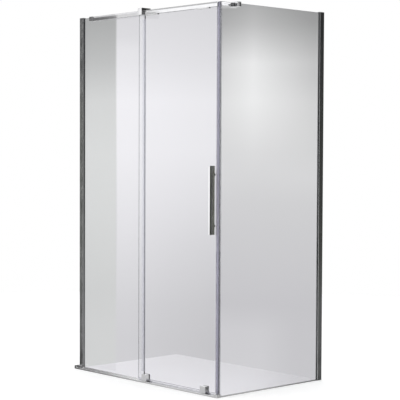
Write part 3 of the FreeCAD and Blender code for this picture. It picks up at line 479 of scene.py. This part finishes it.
def moulded_material(name, colour, roughness, grain_scale, grain_strength):
    """Moulded plastic or rubber with a fine grain and a slightly uneven tone."""
    material, s = new_material(name)
    place = s.place()
    grain = s.noise(place, scale=grain_scale, detail=4.0, roughness=0.6)
    cloud = s.noise(place, scale=40.0, detail=2.0)
    tone = s.mix_colour(s.vary(cloud, 0.0, moulded_pale_most), colour, scaled(colour, moulded_pale_share))
    rough = s.vary(grain, roughness - moulded_roughness_spread, roughness + moulded_roughness_spread)
    body = s.surface(tone, rough, s.bump(grain, grain_strength, distance=0.0001))
    s.finish(body.outputs["BSDF"])
    return material


def make_materials():
    return {
        "clear_glass": glass_material(),
        "chrome": chrome_material("chrome", chrome_colour),
        "rail_chrome": chrome_material("rail_chrome", chrome_colour, rail_inside_half_depth),
        "handle_chrome": chrome_material("handle_chrome", handle_side_painted_reflection),
        "wall_aluminium": drawn_material("wall_aluminium", wall_aluminium_colour, along=2,
                                         roughness=wall_aluminium_roughness),
        "sill_aluminium": drawn_material("sill_aluminium", sill_aluminium_colour, along=0,
                                         roughness=sill_aluminium_roughness),
        "clear_seal": seal_material(),
        "magnet_strip": moulded_material("magnet_strip", magnet_colour, roughness=0.5,
                                         grain_scale=900.0, grain_strength=0.1),
        "grey_rubber": moulded_material("grey_rubber", rubber_colour, roughness=0.6,
                                        grain_scale=1100.0, grain_strength=0.2),
        "grey_plastic": moulded_material("grey_plastic", grey_plastic_colour, roughness=0.45,
                                         grain_scale=1300.0, grain_strength=0.15),
        "roller_plastic": moulded_material("roller_plastic", roller_colour, roughness=0.35,
                                           grain_scale=1500.0, grain_strength=0.05),
        "steel": steel_material(),
    }


def dress_nodes(materials):
    """Gives each carried-over part the material of its slot in the record, or one of its own."""
    own = {"handle_outer": "handle_chrome", "header_rail": "rail_chrome"}
    for row in frame["record"]["subparts"]:
        part = nodes[row["node"]]
        slot = row["material_slot"]
        part.data.materials.clear()
        part.data.materials.append(materials[own.get(row["node"], slot)])


# World, floor, lamps and camera


def through_tones(s, x_left, y, z):
    """What the panes show behind them, by the angle from the back towards the left."""
    angle = s.math("ARCTAN2", x_left, y)
    left = s.ramp(z, left_view_curve)
    near_corner = s.span(z, *corner_shade_heights, *corner_shade_levels)
    middle = s.times(s.ramp(z, middle_view_curve), s.turn(angle, corner_shade_fade, near_corner, 1.0))
    spot = s.mix(s.sector(angle, (spot_side, spot_side), spot_spread), spot_surround, 1.0)
    side = s.times(s.ramp(z, side_view_curve), s.mix(s.span(z, *spot_fade), 1.0, spot))
    in_left = s.sector(angle, left_view_sides)
    in_side = s.sector(angle, side_view_sides)
    level = s.mix(in_side, s.mix(in_left, middle, left), side)
    front_colour = s.mix_colour(in_left, middle_view_colour, left_view_colour)
    side_colour = s.mix_colour(s.span(z, *side_view_low_fade), white, side_view_low_colour)
    return level, s.mix_colour(in_side, front_colour, side_colour)


def bright_tones(s, front_angle, z):
    """The bright stretch at the front, with its left end and a darker patch."""
    end = s.times(s.sector(front_angle, bright_end_sides), s.span(z, *bright_end_fade))
    bright = s.mix(end, s.ramp(z, bright_curve), bright_end_level)
    patch = s.times(s.sector(front_angle, patch_sides), s.between(z, *patch_heights, patch_softness))
    return s.mix(patch, bright, patch_level)


def above_tones(s, front_angle):
    """High up past the bright stretch: a bright strip between two grey tones."""
    strip = s.sector(front_angle, above_strip_sides)
    greys = s.turn(front_angle, above_change_sides, *above_change_levels)
    return s.mix(strip, greys, above_strip_level)


def mirrored_tones(s, x, x_left, y, z):
    """What metal and glass reflect: a bright stretch at the front, with dark ones beside it.

    The front and back angles turn towards the left, the side angle from the back to the right.
    """
    front_angle = s.math("ARCTAN2", x_left, s.times(y, -1.0))
    back_angle = s.math("ARCTAN2", x_left, y)
    side_angle = s.math("ARCTAN2", x, y)
    pale_floor = s.times(s.sector(back_angle, pale_floor_sides),
                         s.between(z, *pale_floor_heights, pale_floor_softness))
    level = s.mix(pale_floor, s.ramp(z, mirrored_curve), pale_floor_level)
    level = s.mix(s.sector(front_angle, bright_sides), level, bright_tones(s, front_angle, z))
    above = s.times(s.sector(front_angle, above_sides), s.span(z, *above_fade))
    level = s.mix(above, level, above_tones(s, front_angle))

    dark = s.ramp(z, dark_curve)
    back_dark = s.times(s.sector(back_angle, back_dark_sides),
                        s.between(z, *back_dark_heights, back_dark_softness))
    level = s.mix(back_dark, level, dark)
    past_bright = s.times(s.sector(front_angle, past_bright_sides), s.span(z, *past_bright_fade))
    near_bright = s.times(s.turn(front_angle, near_bright_side_fade), s.span(z, *near_bright_fade))
    glow = s.mix(near_bright, 1.0, s.span(z, *near_bright_glow_heights, *near_bright_glow))
    level = s.mix(past_bright, level, s.times(dark, glow))
    high_dark = s.times(s.sector(side_angle, high_dark_sides, high_dark_side_softness),
                        s.span(z, *high_dark_fade))
    low_dark = s.sector(side_angle, low_dark_sides, low_dark_side_softness)
    side_dark = s.highest(high_dark, low_dark)
    level = s.mix(side_dark, level, s.times(dark, s.span(z, *side_dark_heights, *side_dark_levels)))

    low_grey = s.times(s.turn(side_angle, low_grey_side_fade), s.turn(side_angle, low_grey_side_end))
    level = s.mix(s.times(low_grey, s.span(z, *low_grey_fade)), level, low_grey_level)
    level = s.mix(s.turn(side_angle, far_grey_side_fade), level, s.ramp(z, far_grey_curve))
    high_end = s.times(s.turn(front_angle, before_bright_side_fade), s.span(z, *before_bright_fade))
    level = s.mix(s.sector(front_angle, before_bright_sides), level, s.mix(high_end, *before_bright_levels))
    strip = s.times(s.sector(side_angle, strip_sides), s.between(z, *strip_heights, strip_softness))
    high_strip = s.times(s.sector(side_angle, high_strip_sides),
                         s.between(z, *high_strip_heights, high_strip_softness))
    level = s.mix(s.highest(strip, high_strip), level, strip_level)

    green = s.times(s.highest(side_dark, past_bright),
                    s.between(z, *dark_tint_heights, dark_tint_softness))
    return level, s.mix_colour(green, white, dark_tint)


def world():
    """White to the camera, while panes and metal see other tones in each direction."""
    made = bpy.data.worlds.new("studio")
    made.use_nodes = True
    bpy.context.scene.world = made
    s = Shader(made.node_tree)
    direction = s.split(s.add("ShaderNodeTexCoord").outputs["Generated"])
    x, y, z = direction["X"], direction["Y"], direction["Z"]
    x_left = s.times(x, -1.0)
    light = s.add("ShaderNodeLightPath")
    through, through_colour = through_tones(s, x_left, y, z)
    reflected, reflected_colour = mirrored_tones(s, x, x_left, y, z)
    in_mirror = s.math("GREATER_THAN", light.outputs["Glossy Depth"], mirror_bounces)
    through_pane = s.times(light.outputs["Is Transmission Ray"], s.math("SUBTRACT", 1.0, in_mirror))
    level = s.mix(in_mirror, s.mix(through_pane, plain_level, through), reflected)
    level = s.mix(light.outputs["Is Camera Ray"], level, 1.0)
    colour = s.mix_colour(in_mirror, s.mix_colour(through_pane, white, through_colour), reflected_colour)
    background = s.add("ShaderNodeBackground", {"Color": colour, "Strength": level})
    s.add("ShaderNodeOutputWorld", {"Surface": background.outputs["Background"]})


def floor_material(low, high):
    """White to the camera apart from the enclosure's shadow; the panes show a greyer floor inside: painted
    shade, with a painted glow.
    """
    material, s = new_material("floor")
    place = s.place()
    spot = s.split(place)
    inside = 1.0
    for axis, start, end in (("X", low.x, high.x), ("Y", low.y, high.y)):
        value = spot[axis]
        inside = s.times(s.span(value, start - inside_softness, start + inside_softness), inside)
        inside = s.times(s.span(value, end + inside_softness, end - inside_softness), inside)
    speckle = s.noise(place, scale=220.0, detail=3.0)
    light = s.add("ShaderNodeLightPath")
    camera_ray = light.outputs["Is Camera Ray"]
    # Rays other than the camera's see the floor in darker tones: painted shade.
    tone = s.mix_colour(camera_ray, s.mix_colour(speckle, *inside_shaded_tones), s.mix_colour(speckle, *floor_tones))
    matt = s.surface(tone, floor_roughness)
    # Painted light: a glow for rays other than the camera's, stronger at the front than at the back.
    inside_glow = s.span(spot["Y"], 0.0, inside_glow_depth, inside_glow_front, inside_glow_back)
    glow = s.add("ShaderNodeEmission", {
        "Color": s.mix_colour(camera_ray, inside_glow_colour, white),
        "Strength": s.mix(camera_ray, inside_glow, floor_glow),
    })
    lit = s.add("ShaderNodeAddShader", {0: matt.outputs["BSDF"], 1: glow.outputs["Emission"]})
    clear = s.add("ShaderNodeBsdfTransparent", {"Color": white})
    hidden = s.times(light.outputs["Is Transmission Ray"], s.math("SUBTRACT", 1.0, inside))
    hidden = s.highest(hidden, s.math("GREATER_THAN", light.outputs["Glossy Depth"], mirror_bounces))
    mixed = s.add("ShaderNodeMixShader", {0: hidden, 1: lit.outputs["Shader"], 2: clear.outputs["BSDF"]})
    s.finish(mixed.outputs["Shader"])
    return material


def link(thing):
    bpy.context.scene.collection.objects.link(thing)


def floor():
    """A round floor whose rings open out towards its rim."""
    shape = bmesh.new()
    middle = shape.verts.new((0.0, 0.0, -floor_drop))
    turns = [2 * math.pi * side / floor_sides for side in range(floor_sides)]
    rings = []
    for ring in range(1, floor_rings + 1):
        radius = floor_radius * (ring / floor_rings) ** 2
        points = [(radius * math.cos(turn), radius * math.sin(turn), -floor_drop) for turn in turns]
        rings.append([shape.verts.new(point) for point in points])
    for side in range(floor_sides):
        after = (side + 1) % floor_sides
        shape.faces.new((middle, rings[0][side], rings[0][after]))
        for inner, outer in zip(rings, rings[1:]):
            shape.faces.new((inner[side], outer[side], outer[after], inner[after]))
    shape.normal_update()
    mesh = bpy.data.meshes.new("floor")
    shape.to_mesh(mesh)
    shape.free()
    mesh.materials.append(floor_material(cad_low, cad_high))
    made = bpy.data.objects.new("floor", mesh)
    link(made)


def lamp(name, place, power):
    """A square lamp that lights surfaces without being mirrored in them."""
    data = bpy.data.lights.new(name, "AREA")
    data.shape = "RECTANGLE"
    data.size = lamp_size
    data.size_y = lamp_size
    data.energy = power
    made = bpy.data.objects.new(name, data)
    made.location = place
    made.rotation_euler = (lamp_aim - place).to_track_quat("-Z", "Y").to_euler()
    made.visible_glossy = False
    made.visible_transmission = False
    link(made)


def camera():
    data = bpy.data.cameras.new("camera")
    data.lens = camera_lens
    data.sensor_width = sensor_width
    data.clip_start = nearest_seen
    data.clip_end = farthest_seen
    made = bpy.data.objects.new("camera", data)
    turn = (Matrix.Rotation(camera_yaw, 4, "Z") @ Matrix.Rotation(math.pi / 2 + camera_pitch, 4, "X")
            @ Matrix.Rotation(camera_roll, 4, "Z"))
    made.matrix_world = Matrix.Translation(camera_place) @ turn
    link(made)
    bpy.context.scene.camera = made


camera()
world()
floor()
lamp("key", key_place, key_power)
lamp("fill", fill_place, fill_power)
dress_nodes(make_materials())

bpy.context.scene.view_settings.view_transform = "Standard"
